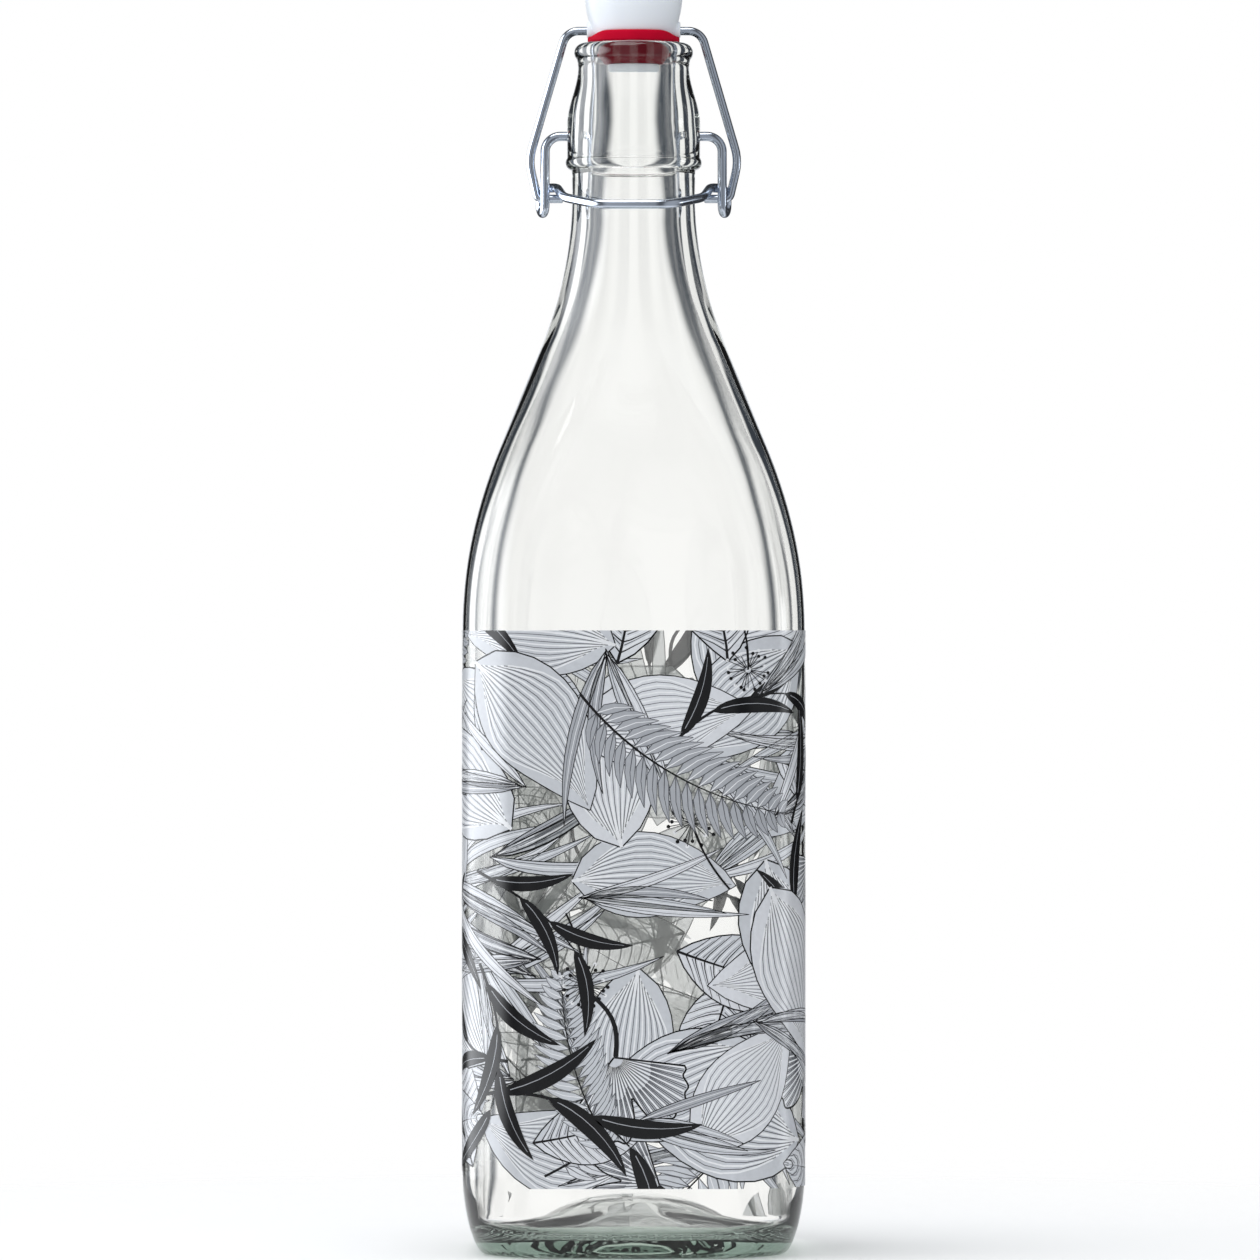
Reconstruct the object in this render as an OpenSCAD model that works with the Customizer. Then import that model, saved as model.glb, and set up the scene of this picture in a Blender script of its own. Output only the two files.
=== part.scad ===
// Swing top bottle: a square glass bottle with a round neck, a printed band,
// and a wire closure that pulls a stopper and its gasket down on the rim.
// The base stands on z = 0, the axis is z, and the handle is at the front (-y).

/* [Glass body] */
// Width of the square body across its flats
body_width = 84; // [78:1:90]
// Radius of the body's upright corners
corner_radius = 18; // [12:1:24]
// Wall of the body
body_wall = 2.8; // [2.2:0.1:3.6]
// Height of the glass from the base to the rim
glass_height = 299; // [285:1:315]
// Height at which the shoulder begins
shoulder_start = 153; // [140:1:160]
// Radius of the outward curve of the shoulder
shoulder_radius = 122; // [90:1:130]
// Length of the straight flank between the two curves of the shoulder
flank_length = 28.4; // [15:0.1:35]
// Height above the shoulder's start where the section begins to turn round
square_rise = 12; // [4:1:20]
// Drop below the neck where the section is fully round
round_drop = 17; // [10:1:30]

/* [Base] */
// Height of the rounded heel
heel_height = 20; // [14:0.5:22]
// Inset of the heel at the standing ring
heel_inset = 5.2; // [4:0.1:7]
// Width of the standing ring
ring_width = 4; // [3:0.5:5]
// Rise of the hollow under the base
punt_height = 8; // [5:0.5:9]
// Height of the lowest place of the inner floor
floor_height = 5; // [4:0.5:6]
// Rise of the inner floor towards the middle
floor_rise = 9.6; // [8:0.2:11]
// Inset of the inner heel, from the inner wall to the lowest place of the floor
inner_inset = 4.5; // [3.5:0.5:6]
// Height of the inner heel
inner_heel = 6; // [5:0.5:9]

/* [Neck and finish] */
// Diameter of the neck
neck_diameter = 30.4; // [29:0.2:31]
// Diameter inside the neck
neck_inside = 22; // [20:0.2:23]
// Length of the neck and finish above the shoulder
neck_length = 37; // [35:0.5:42]
// Diameter of the mouth
mouth_diameter = 19.6; // [19:0.1:20.2]
// Depth of the straight mouth before it widens
mouth_depth = 9; // [8.5:0.5:14]
// Diameter of the rounded lip
lip_diameter = 29.5; // [28.6:0.1:30]
// Radius of the lip's rounded outer edge
lip_round = 2.4; // [1.8:0.1:2.6]
// Radius of the lip's inner edge
mouth_round = 0.8; // [0.6:0.1:1]
// Diameter of the groove under the lip
groove_diameter = 27.5; // [26.5:0.1:28]
// Drop from the rim to the groove
groove_drop = 6; // [5:0.5:7]
// Diameter of the collar that holds the lever
collar_diameter = 33; // [32:0.1:34]
// Drop from the rim to the top of the collar
collar_drop = 20; // [18:0.5:21]
// Diameter of the bead under the collar
bead_diameter = 33.8; // [33.4:0.1:34.6]
// Radius of the bead
bead_round = 1.9; // [1.5:0.1:2.2]
// Drop from the rim to the middle of the bead
bead_drop = 29.7; // [28:0.1:31]
// Drop from the rim to the pivot sockets
pivot_drop = 23.1; // [22:0.1:24]
// Depth of a pivot socket
socket_depth = 3.2; // [2:0.1:4]

/* [Printed band] */
// Height of the band's lower edge
band_bottom = 17.4; // [17:0.1:40]
// Height of the band
band_height = 136; // [60:1:136]
// Thickness of the print
band_thickness = 0.15; // [0.1:0.05:0.4]

/* [Stopper] */
// Diameter of the stopper's head
head_diameter = 24.2; // [23.4:0.1:26]
// Diameter of the head where it sits on the gasket
head_base_diameter = 19.8; // [18:0.1:20]
// Height of the head's flared side
head_side = 10.5; // [9:0.5:12]
// Height of the head's rounded top above its side
head_crown = 6.5; // [5.5:0.5:8]
// Radius between the side and the top of the head
head_round = 4; // [2.5:0.5:5]
// Height of the cross hole above the rim
hole_lift = 3; // [2.8:0.1:3.6]
// Radius of the ears round the ends of the cross hole
ear_radius = 2.4; // [2:0.1:2.8]
// Reach of the ears from the axis
ear_reach = 11.6; // [11:0.1:12]
// Diameter of the stem through the gasket
stem_diameter = 8; // [6:0.2:8.4]
// Diameter of the button below the gasket
foot_diameter = 12.6; // [11:0.2:13.4]
// Height of the button
foot_height = 3; // [2:0.2:3.4]

/* [Gasket] */
// Diameter of the gasket's flange
gasket_diameter = 22.8; // [21.6:0.1:23.4]
// Thickness of the flange
flange_thickness = 1.4; // [1:0.1:1.5]
// Height of the raised edge above the rim, in front and behind
edge_height = 2.8; // [2.4:0.1:3]
// Width of the raised edge
edge_width = 1.2; // [0.8:0.1:1.3]
// Width of the notches that the wire passes through
notch_width = 7; // [6:0.5:10]
// Depth of the plug in the mouth
plug_depth = 5; // [4:0.2:5.4]
// Taper of the plug, in radius from top to bottom
plug_taper = 2; // [1.7:0.05:2.4]

/* [Wires] */
// Diameter of the bail wire
bail_wire_diameter = 2.1; // [1.9:0.1:2.3]
// Diameter of the lever wire
lever_wire_diameter = 2.3; // [2:0.1:2.5]
// Width of the bail at its top bends
bail_top_width = 33.3; // [32:0.1:35]
// Height of the bail's widest corners above the hooks
bail_upright = 9.6; // [8:0.1:12]
// How far the bail's ends lean in at the hooks
hook_lean = 2.2; // [1.5:0.1:2.3]
// Radius of the bail's top bends
bail_bend = 4; // [3:0.1:4.5]
// Radius of the bail's hooks
hook_bend = 1.6; // [1.3:0.1:1.8]
// Distance from the lever's pivot to the bail's hook
crank_length = 15.5; // [14.5:0.1:16.5]
// Radius of the lever's bends at its pivot ends
pin_bend = 3.8; // [3:0.1:4]
// Drop from the pivot to the front bar of the lever
handle_drop = 17.6; // [16.5:0.1:18]
// Width of the straight part of the front bar, bend to bend
handle_width = 18; // [12:0.5:20]
// Radius of the bends of the handle
handle_bend = 8; // [4:0.5:8.5]

/* [Clearances] */
// Gap round the gasket's plug at the rim
plug_gap = 0.4; // [0.35:0.01:0.5]
// Gap between the rim and the gasket's flange
rim_gap = 0.07; // [0.03:0.01:0.2]
// Gap round the stem and under the gasket's plug
stem_gap = 0.05; // [0.02:0.01:0.15]
// Radial gap round the lever's ends in their sockets
socket_gap = 0.08; // [0.03:0.01:0.1]
// Radial gap round the bail in the cross hole
hole_gap = 0.08; // [0.03:0.01:0.1]
// Gap between the lever's end and the floor of its socket
pin_gap = 0.3; // [0.2:0.1:0.6]
// Gap on each side of the hook in the lever's hairpin
eye_gap = 0.15; // [0.12:0.01:0.3]
// Gap between the hook and the wire that crosses above it
cross_gap = 0.5; // [0.4:0.1:0.9]
// Gap between the hook and the bottom of the hairpin
seat_gap = 1.4; // [1.2:0.1:2]
// Gap between the collar and the lever's legs
leg_gap = 4.3; // [4:0.1:5]
// Gap between the lever's legs and the bail's widest corners
bail_gap = 1.85; // [1.8:0.05:2.2]
// Gap between the bead and the ends of the hooks
hook_gap = 0.6; // [0.4:0.1:1]
// Gap between the neck and the sides of the handle
wrap_gap = 2.65; // [2.4:0.05:3]
// Gap between the neck and the front bar
bar_gap = 1.15; // [0.9:0.05:1.6]

/* [Hidden] */
$fn = 64;

// Glass
half = body_width / 2;
inner_half = half - body_wall;
neck_r = neck_diameter / 2;
neck_wall = neck_r - neck_inside / 2;
rim_z = glass_height;
neck_z = rim_z - neck_length;
join_z = neck_z - 7;
outer_ratio = corner_radius / half;
inner_ratio = (corner_radius - body_wall) / inner_half;
// How far the section is from square to round at the standing ring
ring_roundness = 0.35;

// Shoulder: two arcs and the straight flank that touches both
shoulder_rise = neck_z - shoulder_start;
shoulder_step = half - neck_r;
radii_sum = (pow(shoulder_step, 2) + pow(shoulder_rise, 2) - pow(flank_length, 2)) / (2 * shoulder_step);
flare_radius = radii_sum - shoulder_radius;
flank_angle = atan2(shoulder_rise, radii_sum - shoulder_step) - atan2(flank_length, radii_sum);
join_angle = asin((neck_z - join_z) / flare_radius);
// The turned finish laps over the top of the body's loft, which is this much thinner there
lap = 0.5;
lap_inset = 0.1;
lap_angle = asin((neck_z - join_z + lap) / flare_radius);

// Rings of the loft
flat_steps = 1;
corner_steps = 8;
quarter_steps = 2 * flat_steps + corner_steps;
ring_steps = 4 * quarter_steps;

// Finish
mouth_r = mouth_diameter / 2;
lip_r = lip_diameter / 2;
groove_r = groove_diameter / 2;
collar_r = collar_diameter / 2;
bead_r = bead_diameter / 2;
pivot_z = rim_z - pivot_drop;

// Stopper and gasket
hole_z = rim_z + hole_lift;
flange_z = rim_z + rim_gap;
seat_z = flange_z + flange_thickness;
plug_r = mouth_r - plug_gap;
stem_r = stem_diameter / 2;
foot_r = foot_diameter / 2;
foot_top = rim_z - plug_depth - stem_gap;
gasket_r = gasket_diameter / 2;
head_r = head_diameter / 2;
head_base_r = head_base_diameter / 2;
head_top = seat_z + head_side + head_crown;
crown_center = seat_z + head_side;
crown_offset = head_r - head_round;
dome_r = (pow(crown_offset, 2) + pow(head_crown, 2) - pow(head_round, 2)) / (2 * (head_crown - head_round));
dome_z = head_top - dome_r;
dome_angle = atan2(crown_center - dome_z, crown_offset);

// Wires
bail_r = bail_wire_diameter / 2;
lever_r = lever_wire_diameter / 2;
hook_z = pivot_z - crank_length;
leg_x = collar_r + leg_gap + lever_r;
bail_x = leg_x + lever_r + bail_gap + bail_r;
hook_x = bead_r + hook_gap;
eye_r = bail_r + eye_gap + lever_r;
cross_z = hook_z + bail_r + cross_gap + lever_r;
hairpin_z = hook_z - bail_r - seat_gap - lever_r;
wrap_r = neck_r + wrap_gap + lever_r;
bar_y = -(neck_r + bar_gap + lever_r);
bar_z = pivot_z - handle_drop;
// The leg steps forward between these drops, and the back strand leans out
jog_top = 5.5;
jog_bottom = 12.5;
jog_bend = 5;
strand_lean = 1.2;
// Largest turn of a wire between two rings of its bends, and the straight lap at their ends
bend_step = 15;
bend_margin = 1;
// The bends are this much thinner than the round lengths that they run into
skin = 0.01;
// Angles round the neck of the handle's two side points, and the drop between them
wrap_first = 3.3;
wrap_second = 25;
wrap_drop = 2.7;

function mix(a, b, t) = a + (b - a) * t;
function smooth(t) = let (u = min(max(t, 0), 1)) u * u * (3 - 2 * u);
function arc(x, z, r, a0, a1, steps) =
    [for (i = [0:steps]) let (a = mix(a0, a1, i / steps)) [x + r * cos(a), z + r * sin(a)]];
function unit(v) = v / norm(v);
function reversed(list) = [for (i = [len(list) - 1:-1:0]) list[i]];

// One point of a square of half width 1 with rounded corners, j steps from the middle of a side
function quarter_point(ratio, j) =
    j < flat_steps ? [1, (1 - ratio) * j / flat_steps]
    : j > flat_steps + corner_steps ? [(1 - ratio) * (quarter_steps - j) / flat_steps, 1]
    : let (a = 90 * (j - flat_steps) / corner_steps)
        [1 - ratio + ratio * cos(a), 1 - ratio + ratio * sin(a)];

// A station of the loft is [z, half width, roundness from 0 to 1, corner ratio]
function ring(s) = [
    for (q = [0:3], j = [0:quarter_steps - 1])
        let (
            p = quarter_point(s[3], j),
            a = 90 * q,
            square_point = [p[0] * cos(a) - p[1] * sin(a), p[0] * sin(a) + p[1] * cos(a)],
            b = a + 90 * j / quarter_steps,
            flat_point = s[1] * mix(square_point, [cos(b), sin(b)], s[2])
        ) [flat_point[0], flat_point[1], s[0]]
];

function roundness(z) =
    z < heel_height
        ? ring_roundness * (1 - smooth(z / heel_height))
        : smooth((z - shoulder_start - square_rise) / (shoulder_rise - square_rise - round_drop));
function wall_at(z) = mix(body_wall, neck_wall, smooth((z - shoulder_start) / (neck_z - shoulder_start)));
function outer_station(p) = [p[1], p[0], roundness(p[1]), outer_ratio];
function inner_station(p) = [p[1], p[0] - wall_at(p[1]), roundness(p[1]), inner_ratio];

// Side of the body as [half width, z], from the shoulder's start to just below the top of the loft
side_points = concat(
    arc(half - shoulder_radius, shoulder_start, shoulder_radius, 0, flank_angle, 6),
    arc(neck_r + flare_radius, neck_z, -flare_radius, flank_angle, mix(flank_angle, join_angle, 0.8), 4)
);
join_half = neck_r + flare_radius * (1 - cos(join_angle));
join_inside = join_half - wall_at(join_z);
ring_half = half - heel_inset;
heel_stations = [
    for (i = [0:4])
        let (a = 90 * i / 4)
            outer_station([half - heel_inset * (1 - sin(a)), heel_height * (1 - cos(a))])
];
punt_half = ring_half - ring_width;
punt_stations = [
    for (i = [1:4])
        let (u = i / 4)
            [punt_height * (1 - u * u), punt_half * u, mix(1, ring_roundness, u), outer_ratio]
];
floor_half = inner_half - inner_inset;
// How flat the inner floor's dome is: 2 is a parabola, and more is flatter with steeper edges
floor_power = 2.5;
floor_stations = [
    for (i = [1:4])
        let (u = i / 4)
            [floor_height + floor_rise * (1 - pow(u, floor_power)), floor_half * u, mix(1, ring_roundness, u), inner_ratio]
];
inner_heel_stations = [
    for (i = [1:4])
        let (a = 90 * i / 4, z = floor_height + inner_heel * (1 - cos(a)))
            [z, inner_half - inner_inset * (1 - sin(a)), ring_roundness * (1 - sin(a)), inner_ratio]
];
stations = concat(
    punt_stations,
    heel_stations,
    [for (p = side_points) outer_station(p)],
    [[join_z, join_half - lap_inset, 1, outer_ratio], [join_z, join_inside + lap_inset, 1, inner_ratio]],
    [for (p = reversed(side_points)) inner_station(p)],
    reversed(inner_heel_stations),
    reversed(floor_stations)
);

// Skin through all the stations, closed by one point at each end
module loft(first, rings, last) {
    count = len(rings);
    points = concat([first], [for (s = rings) each ring(s)], [last]);
    end = len(points) - 1;
    faces = concat(
        [for (j = [0:ring_steps - 1]) [0, 1 + j, 1 + (j + 1) % ring_steps]],
        [
            for (i = [0:count - 2], j = [0:ring_steps - 1])
                let (
                    a = 1 + i * ring_steps + j,
                    b = 1 + i * ring_steps + (j + 1) % ring_steps
                ) each [[a, a + ring_steps, b + ring_steps], [a, b + ring_steps, b]]
        ],
        [
            for (j = [0:ring_steps - 1])
                [end, end - ring_steps + (j + 1) % ring_steps, end - ring_steps + j]
        ]
    );
    polyhedron(points, faces);
}

module finish_profile() {
    bead_center = bead_r - bead_round;
    bead_start = acos((collar_r - bead_center) / bead_round);
    polygon(concat(
        arc(neck_r + flare_radius, neck_z, -flare_radius, lap_angle, 0, 3),
        reversed(arc(bead_center, rim_z - bead_drop, bead_round, bead_start, -80, 8)),
        [
            for (i = [8:-1:0])
                [mix(groove_r, collar_r, smooth(i / 8)), rim_z - mix(groove_drop, collar_drop, i / 8)]
        ],
        arc(lip_r - lip_round, rim_z - lip_round, lip_round, -45, 90, 8),
        arc(mouth_r + mouth_round, rim_z - mouth_round, mouth_round, 90, 180, 4),
        [
            for (i = [0:6])
                [mix(mouth_r, join_inside, smooth(i / 6)), mix(rim_z - mouth_depth, join_z - lap, i / 6)]
        ]
    ));
}

module bottle() {
    color([0.80, 0.87, 0.86, 0.5])
        difference() {
            union() {
                loft([0, 0, punt_height], stations, [0, 0, floor_height + floor_rise]);
                rotate_extrude() finish_profile();
            }
            for (turn = [0, 180])
                rotate([0, 0, turn])
                    translate([collar_r - socket_depth, 0, pivot_z])
                        rotate([0, 90, 0])
                            cylinder(r = lever_r + socket_gap, h = 2 * socket_depth);
        }
}

module rounded_square(half_width, radius) {
    inset = half_width - radius;
    square([2 * half_width, 2 * inset], center = true);
    square([2 * inset, 2 * half_width], center = true);
    for (x = [-inset, inset], y = [-inset, inset])
        translate([x, y]) circle(r = radius);
}

module print_band() {
    color([0.72, 0.75, 0.78])
        translate([0, 0, band_bottom])
            linear_extrude(height = band_height)
                difference() {
                    rounded_square(half + band_thickness, corner_radius + band_thickness);
                    rounded_square(half, corner_radius);
                }
}

module stopper() {
    foot_edge = 0.6;
    foot_bottom = foot_top - foot_height;
    color([0.95, 0.96, 0.97])
        difference() {
            union() {
                rotate_extrude()
                    polygon(concat(
                        [[0, foot_bottom], [foot_r - foot_edge, foot_bottom], [foot_r, foot_bottom + foot_edge]],
                        [[foot_r, foot_top], [stem_r, foot_top], [stem_r, seat_z]],
                        [
                            for (i = [0:6])
                                [mix(head_base_r, head_r, sin(90 * i / 6)), seat_z + head_side * i / 6]
                        ],
                        arc(crown_offset, crown_center, head_round, 15, dome_angle, 3),
                        [for (i = [1:6]) let (a = mix(dome_angle, 90, i / 6)) [dome_r * cos(a), dome_z + dome_r * sin(a)]]
                    ));
                intersection() {
                    translate([0, 0, hole_z])
                        rotate([0, 90, 0])
                            cylinder(r = ear_radius, h = 2 * ear_reach, center = true);
                    translate([0, 0, seat_z + head_side / 2])
                        cube([2 * head_r, 2 * head_r, head_side], center = true);
                }
            }
            translate([0, 0, hole_z])
                rotate([0, 90, 0])
                    cylinder(r = bail_r + hole_gap, h = 3 * head_r, center = true);
        }
}

module gasket() {
    edge_round = edge_width / 2;
    edge_middle = gasket_r - edge_round;
    under_round = 0.5;
    color([0.78, 0.02, 0.12])
        difference() {
            rotate_extrude()
                polygon(concat(
                    [[stem_r + stem_gap, rim_z - plug_depth], [plug_r - plug_taper, rim_z - plug_depth]],
                    [[plug_r, rim_z], [plug_r, flange_z]],
                    arc(gasket_r - under_round, flange_z + under_round, under_round, -90, 0, 3),
                    arc(edge_middle, rim_z + edge_height - edge_round, edge_round, 0, 180, 6),
                    [[gasket_r - edge_width, seat_z], [stem_r + stem_gap, seat_z]]
                ));
            for (side = [-1, 1])
                translate([side * gasket_r, 0, seat_z + edge_height / 2])
                    cube([4 * edge_width, notch_width, edge_height], center = true);
        }
}

// Bends of a wire through points, as [place, direction] pairs along its middle line.
// They run from a little before the first bend to a little after the last.
function bent_path(points, bends) = [
    for (i = [1:len(points) - 2])
        let (
            u = unit(points[i] - points[i - 1]),
            v = unit(points[i + 1] - points[i]),
            turn = acos(u * v),
            inward = cross(unit(cross(u, v)), u),
            start = points[i] - bends[i] * tan(turn / 2) * u,
            center = start + bends[i] * inward,
            steps = ceil(turn / bend_step)
        ) each concat(
            i == 1 ? [[start - bend_margin * u, u]] : [],
            [
                for (j = [0:steps])
                    let (a = turn * j / steps)
                        [center + bends[i] * (sin(a) * u - cos(a) * inward), cos(a) * u + sin(a) * inward]
            ],
            i == len(points) - 2 ? [[points[i] + (bends[i] * tan(turn / 2) + bend_margin) * v, v]] : []
        )
];

// Tube along a path of [place, direction] pairs
module tube(path, radius) {
    sides = 16;
    count = len(path);
    first_side = unit(cross(path[0][1], [0, 1, 0]));
    normals = [
        for (i = 0, n = first_side; i < count; i = i + 1, n = i < count ? unit(n - (n * path[i][1]) * path[i][1]) : n)
            n
    ];
    points = [
        for (i = [0:count - 1], j = [0:sides - 1])
            let (a = 360 * j / sides)
                path[i][0] + radius * (cos(a) * normals[i] + sin(a) * cross(path[i][1], normals[i]))
    ];
    faces = concat(
        [[for (j = [0:sides - 1]) j]],
        [
            for (i = [0:count - 2], j = [0:sides - 1])
                let (a = i * sides + j, b = i * sides + (j + 1) % sides)
                    each [[a, a + sides, b + sides], [a, b + sides, b]]
        ],
        [[for (j = [sides - 1:-1:0]) (count - 1) * sides + j]]
    );
    polyhedron(points, faces);
}

// Symmetric wire: the bends of each half, a round end at each tip and a round bar in the middle.
// Points run from the tip to the bar's corner, then to the bar's middle. Tips and bar lie along x.
module wire(points, bends, radius) {
    path = bent_path(points, bends);
    lap = bend_margin / 2;
    tip = points[0];
    tip_length = path[0][0][0] + lap - tip[0];
    tip_start = min(tip[0], tip[0] + tip_length);
    bar = points[len(points) - 1];
    bar_half = path[len(path) - 1][0][0] + lap;
    for (side = [0, 1])
        mirror([side, 0, 0]) {
            tube(path, radius - skin);
            translate([tip_start, tip[1], tip[2]])
                rotate([0, 90, 0])
                    cylinder(r = radius, h = abs(tip_length));
        }
    translate(bar)
        rotate([0, 90, 0])
            cylinder(r = radius, h = 2 * bar_half, center = true);
}

module bail_wire() {
    color([0.62, 0.66, 0.72])
        wire(
            [
                [hook_x, 0, hook_z],
                [bail_x - hook_lean, 0, hook_z],
                [bail_x, 0, hook_z + bail_upright],
                [bail_top_width / 2, 0, hole_z],
                [0, 0, hole_z]
            ],
            [0, hook_bend, 3 * bail_bend, bail_bend, 0],
            bail_r
        );
}

module lever_wire() {
    color([0.60, 0.64, 0.70])
        wire(
            [
                [collar_r - socket_depth + pin_gap, 0, pivot_z],
                [leg_x, 0, pivot_z],
                [leg_x, 0, pivot_z - jog_top],
                [leg_x, -eye_r, pivot_z - jog_bottom],
                [leg_x, -eye_r, hairpin_z],
                [leg_x + strand_lean, eye_r, hairpin_z],
                [leg_x + strand_lean, eye_r, cross_z],
                [wrap_r * cos(wrap_first), -wrap_r * sin(wrap_first), cross_z],
                [wrap_r * cos(wrap_second), -wrap_r * sin(wrap_second), cross_z - wrap_drop],
                [handle_width / 2, bar_y, bar_z],
                [0, bar_y, bar_z]
            ],
            [
                0, pin_bend, jog_bend, jog_bend, eye_r, eye_r,
                eye_r, pin_bend, handle_bend, handle_bend, 0
            ],
            lever_r
        );
}

bottle();
print_band();
stopper();
gasket();
bail_wire();
lever_wire();
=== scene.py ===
import bisect
import math
import random

import bpy
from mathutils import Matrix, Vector


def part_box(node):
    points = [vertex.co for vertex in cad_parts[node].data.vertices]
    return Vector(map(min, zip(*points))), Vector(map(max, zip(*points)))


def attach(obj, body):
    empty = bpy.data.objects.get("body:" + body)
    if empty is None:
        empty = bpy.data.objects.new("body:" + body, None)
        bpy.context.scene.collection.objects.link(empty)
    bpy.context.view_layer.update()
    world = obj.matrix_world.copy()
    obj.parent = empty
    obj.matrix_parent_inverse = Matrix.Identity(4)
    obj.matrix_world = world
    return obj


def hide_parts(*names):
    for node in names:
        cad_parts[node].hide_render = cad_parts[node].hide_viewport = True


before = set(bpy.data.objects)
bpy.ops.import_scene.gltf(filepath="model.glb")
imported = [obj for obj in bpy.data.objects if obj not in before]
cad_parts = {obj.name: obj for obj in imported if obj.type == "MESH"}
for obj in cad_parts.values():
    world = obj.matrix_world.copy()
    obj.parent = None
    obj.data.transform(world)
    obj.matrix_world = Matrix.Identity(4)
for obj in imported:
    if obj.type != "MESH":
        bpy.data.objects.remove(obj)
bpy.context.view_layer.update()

# ---------------------------------------------------------------- glass bottle
# The bottle is blown in a two-part mould from clear soda-lime glass: a square body
# with soft corners, a round neck, and a thick finish with a lip, collar and bead.
# One closed skin runs from the hollow base up the outside and down the inside.
MM = 0.001
bottle_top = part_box("bottle")[1]
HALF = bottle_top.x / MM
RIM = bottle_top.z / MM
CORNER_R = 18
WALL = 2.8
SHOULDER_Z = 153
SHOULDER_R = 122
FLANK = 28.4
NECK_R = 15.2
NECK_INSIDE_R = 11
NECK_Z = RIM - 37
JOIN_Z = NECK_Z - 7
SQUARE_RISE = 12
ROUND_DROP = 17
HEEL_H, HEEL_INSET = 20, 5.2
RING_W, PUNT_H, RING_ROUND = 4, 8, 0.35
FLOOR_Z, FLOOR_RISE, INNER_INSET, INNER_HEEL = 5, 9.6, 4.5, 6
MOUTH_R, MOUTH_DEPTH, MOUTH_ROUND = 9.8, 9, 0.8
LIP_R, LIP_ROUND = 14.75, 2.4
GROOVE_R, GROOVE_DROP = 13.75, 6
COLLAR_R, COLLAR_DROP = 16.5, 20
BEAD_R, BEAD_ROUND, BEAD_DROP = 16.9, 1.9, 29.7
PIVOT_Z = RIM - 23.1
SOCKET_DEPTH, SOCKET_R = 3.2, 1.23
SHOULDER_STEPS, FLANK_STEPS, FLARE_STEPS = 22, 6, 20
HEEL_STEPS, BASE_STEPS, BODY_STEPS, FINISH_STEPS = 14, 12, 12, 20
SIDE_STEPS, CORNER_STEPS = 6, 24
QUARTER_STEPS = 2 * SIDE_STEPS + CORNER_STEPS
CLEAR = (1, 1, 1, 1)
WALL_TINT, TINT_DENSITY = (0.68, 0.75, 0.71, 1), 18
# the foot's tint is partly the thick glass's own green and partly painted shade under the bottle
FOOT_GREEN_AND_SHADE = (0.44, 0.53, 0.47, 1)
SHADOW_TINT = (0.93, 0.95, 0.94, 1)


def mix(a, b, t):
    return a + (b - a) * t


def smooth(t):
    """A soft step from 0 to 1."""
    t = min(max(t, 0), 1)
    return t * t * (3 - 2 * t)


def arc(x, z, r, start, end, steps):
    """Points along an arc round (x, z), from one angle in degrees to another."""
    angles = [math.radians(mix(start, end, i / steps)) for i in range(steps + 1)]
    return [(x + r * math.cos(a), z + r * math.sin(a)) for a in angles]


def mesh_piece(name, points, faces, material, body, smooth_angle=None):
    """A named mesh in millimetres, smooth shaded, with its material, riding on a body."""
    mesh = bpy.data.meshes.new(name)
    mesh.from_pydata([Vector(p) * MM for p in points], [], faces)
    mesh.validate()
    mesh.shade_smooth()
    if smooth_angle:
        mesh.set_sharp_from_angle(angle=math.radians(smooth_angle))
    mesh.materials.append(material)
    piece = bpy.data.objects.new(name, mesh)
    bpy.context.scene.collection.objects.link(piece)
    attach(piece, body)
    return piece


def shader(name):
    """A new node material: its tree, its Principled shader and a maker of linked nodes."""
    material = bpy.data.materials.new(name)
    material.use_nodes = True
    tree = material.node_tree
    return material, tree, tree.nodes["Principled BSDF"], adder(tree)


def adder(tree):
    """Adds a node, sets its properties, and sets or links its inputs by name or number."""

    def add(kind, inputs=None, **properties):
        made = tree.nodes.new(kind)
        for key, value in properties.items():
            setattr(made, key, value)
        for key, value in (inputs or {}).items():
            if isinstance(value, bpy.types.NodeSocket):
                tree.links.new(value, made.inputs[key])
            else:
                made.inputs[key].default_value = value
        return made

    return add


def noise(add, place, scale, detail):
    return add("ShaderNodeTexNoise", {"Vector": place, "Scale": scale, "Detail": detail}).outputs[0]


def ramp(add, value, start, end, kind="LINEAR"):
    """Carries a value from one range, given as a pair, over to another."""
    return add("ShaderNodeMapRange", {0: value, 1: start[0], 2: start[1], 3: end[0], 4: end[1]},
               interpolation_type=kind).outputs[0]


def two_tone(add, share, first, second):
    """A colour between two others."""
    return add("ShaderNodeMix", {"Factor": share, 6: first, 7: second}, data_type="RGBA").outputs[2]


def calculate(add, operation, *values):
    return add("ShaderNodeMath", dict(enumerate(values)), operation=operation).outputs[0]


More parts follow.
